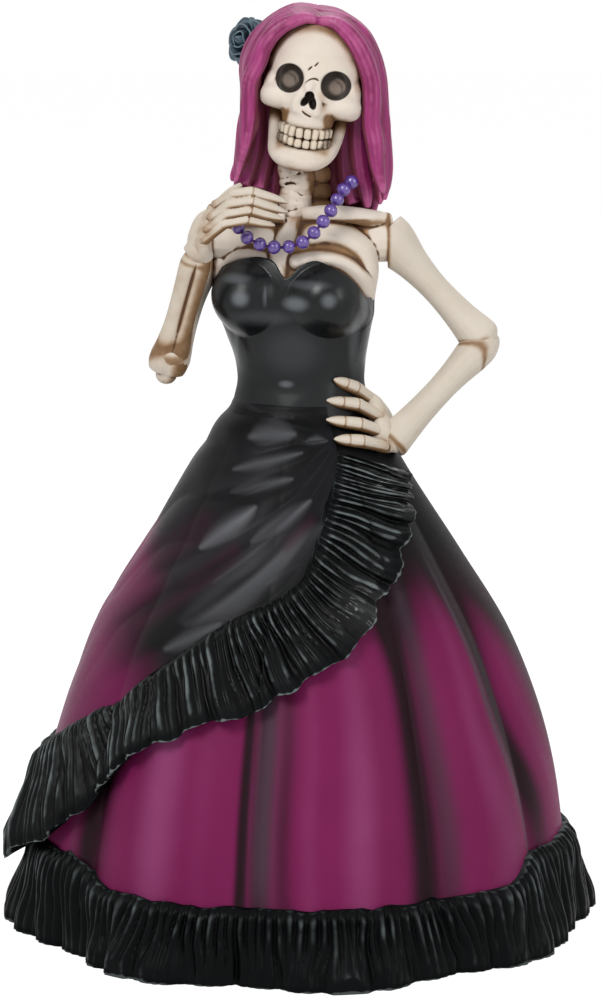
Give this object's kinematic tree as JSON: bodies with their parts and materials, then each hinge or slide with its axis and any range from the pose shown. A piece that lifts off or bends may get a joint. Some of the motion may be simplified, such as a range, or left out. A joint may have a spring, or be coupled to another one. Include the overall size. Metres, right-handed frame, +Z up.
{
  "type": "catrina figure",
  "caption": "Standing skeleton lady in a strapless bodice and a wide ruffled ball dress, one hand on her hip and one at her beads, on a flat round foot.",
  "frame": {"origin": "middle of the dress's flat foot, on the table", "axes": "+Z up the figure; she faces -Y; +X is her own left, the side of the hand on the hip"},
  "size_m": [0.1997, 0.2009, 0.3001],
  "materials": {
    "bone_paint": "ivory acrylic over paper pulp, brown wash in the hollows, satin varnish",
    "tooth_paint": "ivory acrylic, brown between the teeth, satin varnish",
    "black_paint": "black acrylic under gloss varnish",
    "plum_paint": "plum acrylic with black airbrushed folds, gloss varnish",
    "hair_paint": "magenta acrylic with paler strands, satin varnish",
    "rose_paint": "dark slate acrylic, satin varnish",
    "bead_gloss": "glossy purple",
    "thread": "dark waxed thread",
    "board": "pressed grey-brown board",
    "dowel_wood": "plain birch dowel",
    "wire_steel": "annealed binding wire"
  },
  "bodies": {
    "root": {"base_board": "board", "spine_dowel": "dowel_wood", "skirt": "plum_paint", "hem_ruffle": "black_paint", "overskirt": "black_paint", "overskirt_ruffle": "black_paint", "bodice": "black_paint", "chest": "bone_paint", "neck": "bone_paint", "skull": "bone_paint", "jaw": "bone_paint", "upper_teeth": "tooth_paint", "lower_teeth": "tooth_paint", "hair_back": "hair_paint", "hair_left": "hair_paint", "hair_right": "hair_paint", "hair_flower": "rose_paint", "necklace_thread": "thread", "necklace_beads": "bead_gloss", "left_arm_wire": "wire_steel", "right_arm_wire": "wire_steel", "left_humerus": "bone_paint", "left_forearm": "bone_paint", "left_hand": "bone_paint", "left_fingers": "bone_paint", "right_humerus": "bone_paint", "right_forearm": "bone_paint", "right_hand": "bone_paint", "right_fingers": "bone_paint"}
  },
  "joints": []
}
